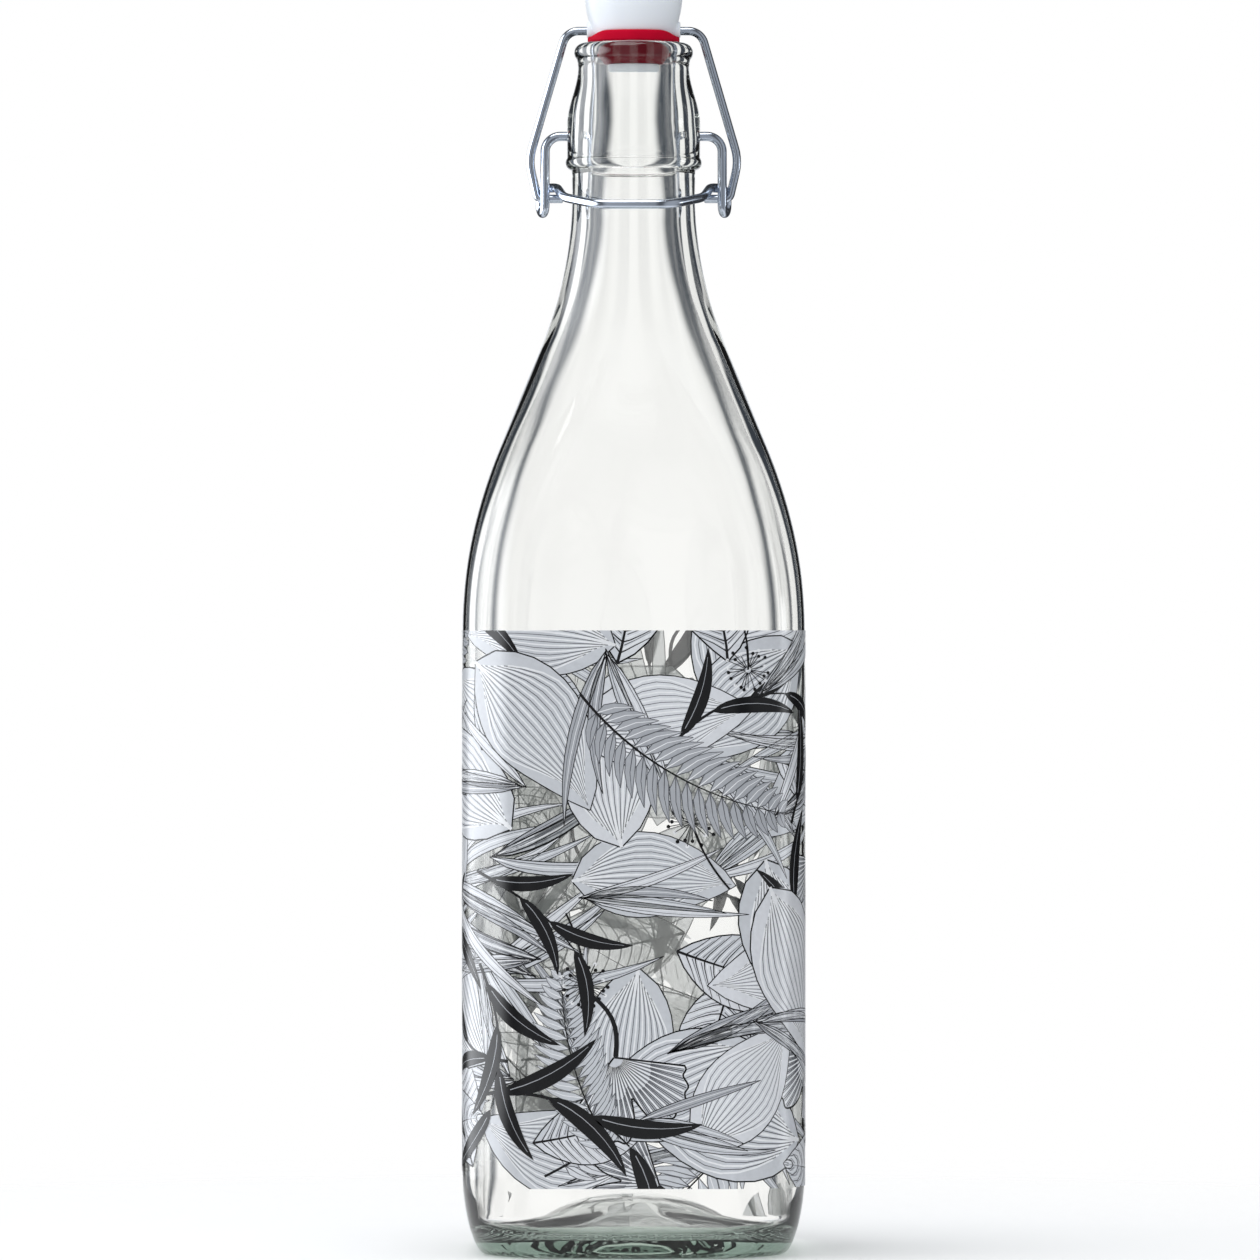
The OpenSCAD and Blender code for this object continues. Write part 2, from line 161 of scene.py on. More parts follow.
def glass_material():
    material, tree, glass, add = shader("clear_glass")
    glass.inputs["Roughness"].default_value = 0
    glass.inputs["IOR"].default_value = 1.5
    glass.inputs["Transmission Weight"].default_value = 1
    place = add("ShaderNodeTexCoord").outputs["Object"]
    # slow waves left by the mould, stretched along the bottle
    stretched = add("ShaderNodeMapping", {"Vector": place, "Scale": (1, 1, 0.35)})
    waves = noise(add, stretched.outputs[0], 70, 1)
    slow = add("ShaderNodeBump", {"Height": waves, "Strength": 0.5, "Distance": 0.25 * MM})
    # small moulded dots on the standing ring
    axes = add("ShaderNodeSeparateXYZ", {0: place})
    flat = add("ShaderNodeCombineXYZ", {0: axes.outputs[0], 1: axes.outputs[1]})
    cells = add("ShaderNodeTexVoronoi", {"Vector": flat.outputs[0], "Scale": 480, "Randomness": 0.3})
    dots = ramp(add, cells.outputs["Distance"], (0.2, 0.55), (1, 0), "SMOOTHSTEP")
    ring = ramp(add, axes.outputs[2], (0.3 * MM, 1.2 * MM), (1, 0))
    stipple = add("ShaderNodeBump", {"Height": calculate(add, "MULTIPLY", dots, ring), "Strength": 1,
                                     "Distance": 0.5 * MM, "Normal": slow.outputs[0]})
    tree.links.new(stipple.outputs[0], glass.inputs["Normal"])
    # the thick foot is tinted darker and greener than the walls: partly the thick glass's own green, partly
    # painted shade for the contact shadow under the bottle
    above_foot = ramp(add, axes.outputs[2], (2.8 * MM, 5.5 * MM), (0, 1), "SMOOTHSTEP")
    tree.links.new(two_tone(add, above_foot, FOOT_GREEN_AND_SHADE, CLEAR), glass.inputs["Base Color"])
    tint = add("ShaderNodeVolumeAbsorption", {"Color": WALL_TINT, "Density": TINT_DENSITY})
    shade = add("ShaderNodeBsdfTransparent", {"Color": SHADOW_TINT})
    shadow = add("ShaderNodeLightPath").outputs["Is Shadow Ray"]
    either = add("ShaderNodeMixShader", {0: shadow, 1: glass.outputs[0], 2: shade.outputs[0]})
    output = tree.nodes["Material Output"]
    tree.links.new(either.outputs[0], output.inputs["Surface"])
    tree.links.new(tint.outputs[0], output.inputs["Volume"])
    return material


def section_point(half_width, roundness, corner_ratio, i):
    """Point i round a section that is a rounded square, a circle, or between the two."""
    quarter, j = divmod(i, QUARTER_STEPS)
    flat = 1 - corner_ratio
    if j < SIDE_STEPS:
        x, y = 1, flat * j / SIDE_STEPS
    elif j > SIDE_STEPS + CORNER_STEPS:
        x, y = flat * (QUARTER_STEPS - j) / SIDE_STEPS, 1
    else:
        a = math.pi / 2 * (j - SIDE_STEPS) / CORNER_STEPS
        x, y = flat + corner_ratio * math.cos(a), flat + corner_ratio * math.sin(a)
    turn = math.pi / 2 * quarter
    round_a = turn + math.pi / 2 * j / QUARTER_STEPS
    square_x = x * math.cos(turn) - y * math.sin(turn)
    square_y = x * math.sin(turn) + y * math.cos(turn)
    return (half_width * mix(square_x, math.cos(round_a), roundness),
            half_width * mix(square_y, math.sin(round_a), roundness))


def glass_stations():
    """Sections (height, half width, roundness, corner ratio) from the punt round to the inner floor."""
    outer, inner = CORNER_R / HALF, (CORNER_R - WALL) / (HALF - WALL)
    # the shoulder and the flare of the neck are arcs, joined by a straight flank that touches both
    rise, step = NECK_Z - SHOULDER_Z, HALF - NECK_R
    radii = (step**2 + rise**2 - FLANK**2) / (2 * step)
    flare_r = radii - SHOULDER_R
    lean = math.degrees(math.atan2(rise, radii - step) - math.atan2(FLANK, radii))
    rounding_rise = rise - SQUARE_RISE - ROUND_DROP

    def roundness(z):
        if z < HEEL_H:
            return RING_ROUND * (1 - smooth(z / HEEL_H))
        return smooth((z - SHOULDER_Z - SQUARE_RISE) / rounding_rise)

    def wall(z):
        return mix(WALL, NECK_R - NECK_INSIDE_R, smooth((z - SHOULDER_Z) / rise))

    shoulder = arc(HALF - SHOULDER_R, SHOULDER_Z, SHOULDER_R, 0, lean, SHOULDER_STEPS)
    flare = arc(NECK_R + flare_r, NECK_Z, -flare_r, lean, 0, FLARE_STEPS)
    (low_x, low_z), (high_x, high_z) = shoulder[-1], flare[0]
    flank = [(mix(low_x, high_x, t / FLANK_STEPS), mix(low_z, high_z, t / FLANK_STEPS))
             for t in range(1, FLANK_STEPS)]
    body = [(HALF, mix(HEEL_H, SHOULDER_Z, t / BODY_STEPS)) for t in range(1, BODY_STEPS)]
    side = body + shoulder + flank + flare

    stations = []
    punt_half = HALF - HEEL_INSET - RING_W
    for i in range(1, BASE_STEPS + 1):
        u = i / BASE_STEPS
        stations.append((PUNT_H * (1 - u * u), punt_half * u, mix(1, RING_ROUND, u), outer))
    for i in range(HEEL_STEPS + 1):
        a = math.pi / 2 * i / HEEL_STEPS
        z = HEEL_H * (1 - math.cos(a))
        stations.append((z, HALF - HEEL_INSET * (1 - math.sin(a)), roundness(z), outer))
    stations += [(z, x, roundness(z), outer) for x, z in side]

    # the finish: bead, collar with the groove above it, lip and mouth, then the neck's inside
    bead_center = BEAD_R - BEAD_ROUND
    bead_end = math.degrees(math.acos((COLLAR_R - bead_center) / BEAD_ROUND))
    shares = [i / FINISH_STEPS for i in range(FINISH_STEPS + 1)]
    finish = arc(bead_center, RIM - BEAD_DROP, BEAD_ROUND, -80, bead_end, 14)
    finish += [(mix(COLLAR_R, GROOVE_R, smooth(t)), RIM - mix(COLLAR_DROP, GROOVE_DROP, t)) for t in shares]
    finish += arc(LIP_R - LIP_ROUND, RIM - LIP_ROUND, LIP_ROUND, -45, 90, 16)
    finish += arc(MOUTH_R + MOUTH_ROUND, RIM - MOUTH_ROUND, MOUTH_ROUND, 90, 180, 8)
    join_x, join_z = next((x, z) for x, z in reversed(side) if z <= JOIN_Z)
    inside_join = join_x - wall(join_z)
    finish += [(mix(MOUTH_R, inside_join, smooth(t)), mix(RIM - MOUTH_DEPTH, join_z, t)) for t in shares]
    stations += [(z, x, 1, outer) for x, z in finish]

    inner_floor = FLOOR_Z + INNER_HEEL
    stations += [(z, x - wall(z), roundness(z), inner) for x, z in reversed(side) if inner_floor < z < join_z]
    inner_half = HALF - WALL
    for i in range(HEEL_STEPS, 0, -1):
        a = math.pi / 2 * i / HEEL_STEPS
        z = FLOOR_Z + INNER_HEEL * (1 - math.cos(a))
        low = 1 - math.sin(a)
        stations.append((z, inner_half - INNER_INSET * low, RING_ROUND * low, inner))
    for i in range(BASE_STEPS, 0, -1):
        u = i / BASE_STEPS
        z = FLOOR_Z + FLOOR_RISE * (1 - u**2.5)
        stations.append((z, (inner_half - INNER_INSET) * u, mix(1, RING_ROUND, u), inner))
    return stations


def closed_skin(sections, first, last):
    """Faces between sections of equal size, closed by a point at each end."""
    size = len(sections[0])
    points = [first] + [p for section in sections for p in section] + [last]
    end = len(points) - 1
    faces = [(0, 1 + (j + 1) % size, 1 + j) for j in range(size)]
    for i in range(len(sections) - 1):
        row = 1 + i * size
        for j in range(size):
            ahead = (j + 1) % size
            faces.append((row + j, row + ahead, row + size + ahead, row + size + j))
    faces += [(end, end - size + j, end - size + (j + 1) % size) for j in range(size)]
    return points, faces


def cut_rod(piece, radius, ends):
    """Cuts a round hole between two points in millimetres."""
    start, end = (Vector(p) * MM for p in ends)
    bpy.ops.mesh.primitive_cylinder_add(vertices=64, radius=radius * MM, depth=(end - start).length,
                                        location=(start + end) / 2,
                                        rotation=(end - start).to_track_quat("Z", "Y").to_euler())
    rod = bpy.context.object
    hole = piece.modifiers.new("hole", "BOOLEAN")
    hole.operation = "DIFFERENCE"
    hole.solver = "EXACT"
    hole.object = rod
    bpy.context.view_layer.update()
    shaped = bpy.data.meshes.new_from_object(piece.evaluated_get(bpy.context.evaluated_depsgraph_get()))
    piece.modifiers.clear()
    piece.data = shaped
    bpy.data.objects.remove(rod)


sections = [[(*section_point(half_width, roundness, ratio, i), z) for i in range(4 * QUARTER_STEPS)]
            for z, half_width, roundness, ratio in glass_stations()]
points, faces = closed_skin(sections, (0, 0, PUNT_H), (0, 0, FLOOR_Z + FLOOR_RISE))
glass = mesh_piece("glass_bottle", points, faces, glass_material(), "bottle")
for side in (-1, 1):
    blind_end, outside = side * (COLLAR_R - SOCKET_DEPTH), side * (COLLAR_R + 3)
    cut_rod(glass, SOCKET_R, [(blind_end, 0, PIVOT_Z), (outside, 0, PIVOT_Z)])
glass.data.set_sharp_from_angle(angle=math.radians(50))
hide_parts("bottle")

# ---------------------------------------------------------------- printed leaves
# The band is ceramic ink screened on the outside of the body and fired on: grey leaves
# with white and black pen lines, and a few solid black ones. It is built as thin cut
# shapes wrapped round the body, each a hair above the ones that it covers.
print_low, print_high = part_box("print_band")
BAND_LOW, BAND_HIGH = print_low.z / MM, print_high.z / MM
STRAIGHT = 2 * (HALF - CORNER_R)
QUARTER = STRAIGHT + math.pi / 2 * CORNER_R
AROUND = 4 * QUARTER
FACET_TURN = math.pi / 2 / CORNER_STEPS
FOLDS = [STRAIGHT / 2 + quarter * QUARTER + k * FACET_TURN * CORNER_R
         for quarter in range(-2, 7) for k in range(CORNER_STEPS + 1)]
FIRST_LIFT, LEAF_LIFT, LINE_LIFT = 0.02, 0.006, 0.0025
INKS = {
    "light": (0.72, 0.735, 0.775),
    "middle": (0.61, 0.63, 0.67),
    "deep": (0.42, 0.435, 0.47),
    "white": (0.86, 0.87, 0.895),
    "line": (0.11, 0.115, 0.13),
    "black": (0.006, 0.006, 0.007),
}
# inside colours of the ink: painted light, paler for the backlight that shines through the thin ink
INSIDE_PAINTED_LIGHT, BLACK_INSIDE_PAINTED_LIGHT = (0.90, 0.90, 0.89, 1), (0.10, 0.10, 0.10, 1)
pen = random.Random(11)


def wall_point(s, z, lift):
    """Place and outward direction on the body's flat facets, s round it from the middle of the front."""
    quarter, t = divmod(s + QUARTER / 2, QUARTER)
    t -= QUARTER / 2
    side, a = math.copysign(1, t), max(abs(t) - STRAIGHT / 2, 0) / CORNER_R
    k, part = divmod(a / FACET_TURN, 1)
    ends = [(min(abs(t), STRAIGHT / 2) + CORNER_R * math.sin(b), CORNER_R - HALF - CORNER_R * math.cos(b))
            for b in (k * FACET_TURN, (k + 1) * FACET_TURN)]
    out_x, out_y = side * math.sin(a), -math.cos(a)
    x = side * mix(ends[0][0], ends[1][0], part) + lift * out_x
    y = mix(ends[0][1], ends[1][1], part) + lift * out_y
    c, n = math.cos(math.pi / 2 * quarter), math.sin(math.pi / 2 * quarter)
    return (x * c - y * n, x * n + y * c, z), (out_x * c - out_y * n, out_x * n + out_y * c, 0)


def cut(shape, axis, limit, above):
    """The part of a flat shape on one side of a line across s (axis 0) or z (axis 1)."""
    kept = []
    for a, b in zip(shape, shape[1:] + shape[:1]):
        over_a, over_b = a[axis] - limit, b[axis] - limit
        if not above:
            over_a, over_b = -over_a, -over_b
        if over_a >= 0:
            kept.append(a)
        if over_a * over_b < 0:
            t = over_a / (over_a - over_b)
            kept.append((mix(a[0], b[0], t), mix(a[1], b[1], t)))
    return kept


class Print:
    """Collects motifs of flat shapes drawn in millimetres round the body, each in one ink."""

    def __init__(self):
        self.points, self.normals, self.faces, self.inks = [], [], [], []
        self.known, self.done, self.boxes = {}, set(), []

    def at(self, s, z, angle, size):
        """Starts a motif at a place on the wall, turned and scaled."""
        self.place = (s, z, math.cos(angle) * size, math.sin(angle) * size)
        self.motif = []

    def grid(self, rows, ink, rise=0):
        """Fills a grid of points, given as rows of (x, y) in the motif's own frame."""
        s, z, c, n = self.place
        rows = [[(s + c * x - n * y, z + n * x + c * y) for x, y in row] for row in rows]
        for here, ahead in zip(rows, rows[1:]):
            for j in range(len(here) - 1):
                self.motif.append(([here[j], here[j + 1], ahead[j + 1], ahead[j]], ink, rise))

    def lay(self):
        """Lays the motif above the ones that it overlaps, cut to the band and to the wall's facets."""
        all_s = [p[0] for shape, ink, rise in self.motif for p in shape]
        all_z = [p[1] for shape, ink, rise in self.motif for p in shape]
        s, z = (min(all_s) + max(all_s)) / 2, (min(all_z) + max(all_z)) / 2
        reach_s, reach_z = max(all_s) - s, max(all_z) - z
        beneath = [layer for other_s, other_z, other_reach_s, other_reach_z, layer in self.boxes
                   if abs((s - other_s + AROUND / 2) % AROUND - AROUND / 2) < reach_s + other_reach_s
                   and abs(z - other_z) < reach_z + other_reach_z]
        layer = max(beneath, default=0) + 1
        self.boxes.append((s, z, reach_s, reach_z, layer))
        for shape, ink, rise in self.motif:
            shape = cut(cut(shape, 1, BAND_LOW, True), 1, BAND_HIGH, False)
            if not shape:
                continue
            low, high = min(p[0] for p in shape), max(p[0] for p in shape)
            for fold in FOLDS[bisect.bisect(FOLDS, low + 0.001):bisect.bisect(FOLDS, high - 0.001)]:
                self.face(cut(shape, 0, fold, False), ink, FIRST_LIFT + layer * LEAF_LIFT + rise)
                shape = cut(shape, 0, fold, True)
            self.face(shape, ink, FIRST_LIFT + layer * LEAF_LIFT + rise)

    def face(self, shape, ink, lift):
        """One flat shape on the wall, with its points shared with the shapes beside it."""
        area = sum(a[0] * b[1] - b[0] * a[1] for a, b in zip(shape, shape[1:] + shape[:1])) / 2
        if abs(area) < 0.0005:
            return
        corners = []
        for s, z in shape if area > 0 else reversed(shape):
            key = (round(s % AROUND, 3), round(z, 3), round(lift, 4))
            if key not in self.known:
                self.known[key] = len(self.points)
                point, normal = wall_point(s, z, lift)
                self.points.append(point)
                self.normals.append(normal)
            if self.known[key] not in corners:
                corners.append(self.known[key])
        if len(corners) > 2 and frozenset(corners) not in self.done:
            self.done.add(frozenset(corners))
            self.faces.append(corners)
            self.inks.append(list(INKS).index(ink))

    def line(self, path, ink, width, rise=LINE_LIFT, taper=1.0):
        """A pen line along (x, y) points, thinning to its end."""
        rows = []
        for i, (x, y) in enumerate(path):
            ahead, behind = path[min(i + 1, len(path) - 1)], path[max(i - 1, 0)]
            dx, dy = ahead[0] - behind[0], ahead[1] - behind[1]
            size = math.hypot(dx, dy) or 1
            half = width / 2 * mix(1, 1 - taper, i / (len(path) - 1))
            side_x, side_y = dy / size * half, dx / size * half
            rows.append([(x - side_x, y + side_y), (x + side_x, y - side_y)])
        self.grid(rows, ink, rise)


def blade(ink_print, length, width, bend, ink, belly=0.45, start=(0, 0), heading=0.0, steps=14):
    """A leaf blade along a bent middle line. Returns its place function of (u, v)."""

    def place(u, v):
        a = heading + bend * (u - 0.5)
        middle_a = heading + bend * (u / 2 - 0.5)
        x = start[0] + length * u * math.cos(middle_a)
        y = start[1] + length * u * math.sin(middle_a)
        half = 0
        if 0 < u < 1:
            swell = u ** (math.log(0.5) / math.log(belly))
            half = width * math.sin(math.pi * swell) ** 0.8
        return x - math.sin(a) * half * v, y + math.cos(a) * half * v

    ink_print.grid([[place(i / steps, v) for v in (-1, 1)] for i in range(steps + 1)], ink)
    return place


def outline(ink_print, place, ink, width, steps=12):
    for v in (-1, 1):
        ink_print.line([place(i / steps, v) for i in range(steps + 1)], ink, width, taper=0.3)


def broad_leaf(p):
    """A plantain-like leaf with close veins that run from base to tip."""
    ink = pen.choice(["light", "middle", "middle"])
    place = blade(p, 44, 11.5, pen.uniform(-0.8, 0.8), ink, belly=0.42, steps=18)
    shares = [i / 8 for i in range(9)]
    for k in range(1, 13):
        start, end = 0.015 * k, 0.99 - 0.018 * k
        for v in (-k / 13, k / 13):
            path = [place(mix(start, end, t), v * (0.6 + 0.4 * math.sin(math.pi * t))) for t in shares]
            p.line(path, "line" if k % 2 else "white", 0.24 if k % 2 else 0.46, taper=0.5)
    p.line([place(i / 12, 0) for i in range(13)], "white", 0.8, 2 * LINE_LIFT)
    outline(p, place, "black", 0.34)


def veined_leaf(p):
    """A beech-like leaf with side veins and a shaded half."""
    place = blade(p, 36, 9.5, pen.uniform(-0.9, 0.9), "light", belly=0.5, steps=18)
    p.grid([[place(i / 18, v) for v in (0, 1)] for i in range(19)], "middle", LINE_LIFT / 2)

    def vein(u, v, reach, shares):
        return [place(min(u + 0.13 * t**1.5, 0.995), v * t * reach) for t in shares]

    for k in range(1, 14):
        u = k / 14.5
        for v in (-1, 1):
            p.line(vein(u, v, 0.97, (0, 0.3, 0.65, 1)), "black", 0.34, taper=0.5)
            p.line(vein(u + 0.022, v, 0.92, (0.12, 0.5, 0.92)), "white", 0.26, taper=0.6)
            p.line(vein(u + 0.046, v, 0.92, (0.12, 0.5, 0.92)), "line", 0.26, taper=0.6)
    p.line([place(i / 9, 0) for i in range(10)], "black", 0.7, 2 * LINE_LIFT)
    outline(p, place, "black", 0.4)


def fan_leaf(p):
    """A two-lobed fan on a stalk, ribbed by many forking lines."""
    reach, spread = pen.uniform(15, 20), pen.uniform(0.95, 1.2)

    def place(t, v):
        notch = 0.42 * math.exp(-((v / 0.1) ** 2))
        scallop = 0.025 * math.sin(v * 31) + 0.05 * math.sin(v * 7 + 1)
        r = reach * t * (1 - notch * t - scallop * t - 0.10 * v * v)
        return r * math.cos(spread * v), r * math.sin(spread * v)

    p.grid([[place(t, v / 24) for v in range(-24, 25)] for t in (0, 1)], pen.choice(["light", "middle"]))
    for k in range(-20, 21):
        v = k / 20.5
        p.line([place(t, v) for t in (0.12, 0.97)], "line" if k % 2 else "white", 0.24, taper=-0.2)
        p.line([place(t, v + 0.024) for t in (0.5, 0.96)], "line", 0.2, taper=0.2)
    p.line([place(0.99, v / 40) for v in range(-40, 41)], "black", 0.4, 2 * LINE_LIFT, taper=0)
    for v in (-1, 1):
        p.line([place(t / 4, v) for t in range(5)], "black", 0.4, taper=0)
    p.line([(-16 + 16 * t / 8, 3.0 * math.sin(t / 8 * 3.0)) for t in range(9)], "black", 0.8, taper=-0.4)


def fern(p):
    """A fern frond: a curved rib with pairs of narrow leaflets that shrink to the tip."""
    bend = pen.uniform(-0.9, 0.9)
    length = 54
    rib = []
    x = y = 0.0
    for i in range(21):
        rib.append((x, y))
        a = bend * (i / 20 - 0.5)
        x += length / 20 * math.cos(a)
        y += length / 20 * math.sin(a)
    ink = pen.choice(["light", "middle", "deep"])
    for i in range(2, 20):
        a = bend * (i / 20 - 0.5)
        size = 11.5 * math.sin(math.pi * (0.12 + 0.86 * i / 20)) ** 0.7
        for hand in (-1, 1):
            place = blade(p, size, 1.15, -hand * 0.5, ink, 0.35, rib[i], a + hand * 0.95, steps=4)
            p.line([place(u / 2, 0.05) for u in range(3)], "white" if hand > 0 else "line", 0.26, taper=0.7)
            for v in (-1, 1):
                p.line([place(u / 4, v) for u in range(5)], "line", 0.22, taper=0.3)
    p.line(rib, "black", 0.6, 2 * LINE_LIFT, taper=0.8)


def black_sprig(p):
    """A willow sprig in solid black, with a thin light line along each leaf."""
    bend = pen.choice([-1, 1]) * pen.uniform(0.5, 1.1)
    x = y = 0.0
    stem = []
    for i in range(15):
        stem.append((x, y))
        a = bend * (i / 14 - 0.3)
        x += 2.6 * math.cos(a)
        y += 2.6 * math.sin(a)
    p.line(stem, "black", 0.9, taper=0.6)
    for i in range(2, 15, 4):
        a = bend * (i / 14 - 0.3)
        hand = 1 if i % 8 == 2 else -1
        place = blade(p, 24, 2.1, hand * 0.7, "black", 0.42, stem[i], a + hand * 0.5, steps=12)
        p.line([place(mix(0.1, 0.9, u / 6), 0.15) for u in range(7)], "deep", 0.2, taper=0.5)


def grass(p):
    """A tuft of long bent grass blades, each with a few pen lines."""
    for k in range(4):
        turn = pen.uniform(-0.42, 0.42)
        length, bend = pen.uniform(30, 46), pen.uniform(-0.8, 0.8)
        ink = pen.choice(["light", "middle", "deep"])
        place = blade(p, length, 1.5, bend, ink, 0.4, (0.6 * k, 0), turn, steps=10)
        for v in (-0.45, 0.1, 0.55):
            path = [place(mix(0.03, 0.95, u / 6), v) for u in range(7)]
            p.line(path, "white" if v == 0.1 else "line", 0.2, taper=0.5)
        outline(p, place, "black", 0.26, steps=8)


def seed_head(p):
    """A round seed head: fine rays with a dot at each end."""
    for k in range(22):
        a = 2 * math.pi * k / 22 + 0.1 * math.sin(5 * k)
        r = 5.2 + 1.1 * math.sin(3.1 * k)
        c, n = math.cos(a), math.sin(a)
        p.line([(0.8 * c, 0.8 * n), (r * c, r * n)], "black", 0.2, taper=0)
        dot = [(0.5 * math.cos(b), 0.5 * math.sin(b)) for b in [math.pi / 3 * j for j in range(7)]]
        rim = [(r * c + dx, r * n + dy) for dx, dy in dot]
        p.grid([[(r * c, r * n)] * 7, rim], "black" if k % 3 else "white", LINE_LIFT)
    p.line([(0.03 * t * t, -1.5 * t) for t in range(13)], "black", 0.5, taper=0)


def add_bump(tree, add, principled, height, strength, distance):
    bump = add("ShaderNodeBump", {"Height": height, "Strength": strength, "Distance": distance})
    tree.links.new(bump.outputs["Normal"], principled.inputs["Normal"])


def shades(colour, *factors):
    """Paler and darker versions of a colour."""
    return [tuple(c * f for c in colour) + (1,) for f in factors]


def ink_material(name, colour):
    material, tree, ink, add = shader("ink_" + name)
    solid = name == "black"
    grain = noise(add, add("ShaderNodeTexCoord").outputs["Object"], 900, 3)
    pale, dark = shades(colour, 1.08, 0.90)
    # painted light: seen from inside, the thin ink is painted paler, for the light from behind that shines
    # through it; it also lets light through
    inside = add("ShaderNodeNewGeometry").outputs["Backfacing"]
    shown = two_tone(add, inside, two_tone(add, grain, dark, pale), BLACK_INSIDE_PAINTED_LIGHT if solid else INSIDE_PAINTED_LIGHT)
    tree.links.new(shown, ink.inputs["Base Color"])
    ink.inputs["Roughness"].default_value = 0.24
    ink.inputs["Specular IOR Level"].default_value = 0.4 if solid else 0.85
    add_bump(tree, add, ink, grain, 0.12, 0.02 * MM)
    glow = add("ShaderNodeBsdfTranslucent", {"Color": shown})
    share = ramp(add, inside, (0, 1), (0.02 if solid else 0.15, 0.85))
    both = add("ShaderNodeMixShader", {0: share, 1: ink.outputs[0], 2: glow.outputs[0]})
    clear = add("ShaderNodeBsdfTransparent")
    shadow = add("ShaderNodeLightPath").outputs["Is Shadow Ray"]
    passed = calculate(add, "MULTIPLY", shadow, 0.05 if solid else 0.65)
    thin = add("ShaderNodeMixShader", {0: passed, 1: both.outputs[0], 2: clear.outputs[0]})
    tree.links.new(thin.outputs[0], tree.nodes["Material Output"].inputs["Surface"])
    return material


def grow(kinds, columns, rows, phase):
    """Motifs on a loose grid round the body, as (kind, s, z)."""
    made = []
    for row in range(rows):
        for column in range(columns):
            s = (column + phase + 0.5 * (row % 2) + pen.uniform(-0.3, 0.3)) * AROUND / columns
            z = mix(BAND_LOW - 6, BAND_HIGH + 6, (row + 0.5 + pen.uniform(-0.3, 0.3)) / rows)
            made.append((pen.choice(kinds), s, z))
    return made


leaves = Print()
planting = grow([fern, grass, veined_leaf, broad_leaf], 13, 6, 0.1)
planting += grow([broad_leaf, veined_leaf, fan_leaf, grass], 11, 6, 0.4)
planting += grow([grass, veined_leaf, broad_leaf, black_sprig, grass], 9, 5, 0.7)
planting += grow([fern, black_sprig, seed_head, grass], 8, 4, 0.2)
for kind, s, z in planting:
    leaves.at(s, z, pen.uniform(0, 2 * math.pi), pen.uniform(0.85, 1.15))
    kind(leaves)
    leaves.lay()
ink_slots = [ink_material(name, colour) for name, colour in INKS.items()]
printed = mesh_piece("printed_leaves", leaves.points, leaves.faces, ink_slots[0], "bottle")
for ink in ink_slots[1:]:
    printed.data.materials.append(ink)
printed.data.polygons.foreach_set("material_index", leaves.inks)
printed.data.normals_split_custom_set_from_vertices(leaves.normals)
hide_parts("print_band")

# ---------------------------------------------------------------- lever wire
# The lever is one length of drawn steel wire. Its ends spring into the two sockets of
# the glass, a hairpin on each side holds the bail's hook, and the front is the handle.
LEVER_R = 1.15
BAIL_R = 1.05
CRANK = 15.5
HOOK_Z = PIVOT_Z - CRANK
LEG_X = COLLAR_R + 4.3 + LEVER_R
EYE_R = BAIL_R + 0.15 + LEVER_R
CROSS_Z = HOOK_Z + BAIL_R + 0.5 + LEVER_R
HAIRPIN_Z = HOOK_Z - BAIL_R - 1.4 - LEVER_R
WRAP_R = NECK_R + 2.65 + LEVER_R
BAR_Y = -(NECK_R + 1.15 + LEVER_R)
BAR_Z = PIVOT_Z - 17.6
BAR_HALF = 9
LEG_STRAIGHT, LEG_DROP = 5.5, 12.5
HAIRPIN_SPREAD = 1.2
WRAP_START, WRAP_END, WRAP_DROP = math.radians(3.3), math.radians(25), 2.7
WIRE_SIDES, WIRE_SOFT = 28, 0.25
STEEL = (0.62, 0.68, 0.78)


def wire_path(points, bends, step=6):
    """Middle line of a wire through points, with a round bend at each inner point."""
    points = [Vector(p) for p in points]
    path = [points[0]]
    for i in range(1, len(points) - 1):
        u = (points[i] - points[i - 1]).normalized()
        v = (points[i + 1] - points[i]).normalized()
        turn = u.angle(v)
        inward = u.cross(v).normalized().cross(u)
        start = points[i] - bends[i] * math.tan(turn / 2) * u
        center = start + bends[i] * inward
        steps = max(2, math.ceil(math.degrees(turn) / step))
        for j in range(steps + 1):
            a = turn * j / steps
            path.append(center + bends[i] * (math.sin(a) * u - math.cos(a) * inward))
    path.append(points[-1])
    return path


def wire_piece(name, half_path, radius, material, body, node):
    """A symmetric wire from its right half, as a round tube with softened ends."""
    path = half_path + [Vector((-p.x, p.y, p.z)) for p in reversed(half_path[:-1])]
    first, last = path[0], path[-1]
    inset = Vector((WIRE_SOFT, 0, 0)) * (1 if path[1].x > first.x else -1)
    path = [first, first + inset] + path[1:-1] + [last + Vector((-inset.x, 0, 0)), last]
    angles = [2 * math.pi * j / WIRE_SIDES for j in range(WIRE_SIDES)]
    normal = (path[1] - path[0]).normalized().cross(Vector((0, 1, 0))).normalized()
    sections = []
    for i, p in enumerate(path):
        along = (path[min(i + 1, len(path) - 1)] - path[max(i - 1, 0)]).normalized()
        normal = (normal - normal.dot(along) * along).normalized()
        other = along.cross(normal)
        r = radius - (WIRE_SOFT if i in (0, len(path) - 1) else 0)
        sections.append([p + r * (math.cos(a) * normal + math.sin(a) * other) for a in angles])
    points, faces = closed_skin(sections, path[0], path[-1])
    piece = mesh_piece(name, points, faces, material, body, smooth_angle=40)
    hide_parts(node)


def steel_material(name):
    material, tree, steel, add = shader(name)
    steel.inputs["Metallic"].default_value = 1
    place = add("ShaderNodeTexCoord").outputs["Object"]
    tone = two_tone(add, noise(add, place, 120, 2), *shades(STEEL, 1.05, 0.9))
    tree.links.new(tone, steel.inputs["Base Color"])
    drawn = noise(add, place, 1400, 2)
    tree.links.new(ramp(add, drawn, (0.3, 0.7), (0.16, 0.22)), steel.inputs["Roughness"])
    add_bump(tree, add, steel, drawn, 0.08, 0.02 * MM)
    return material


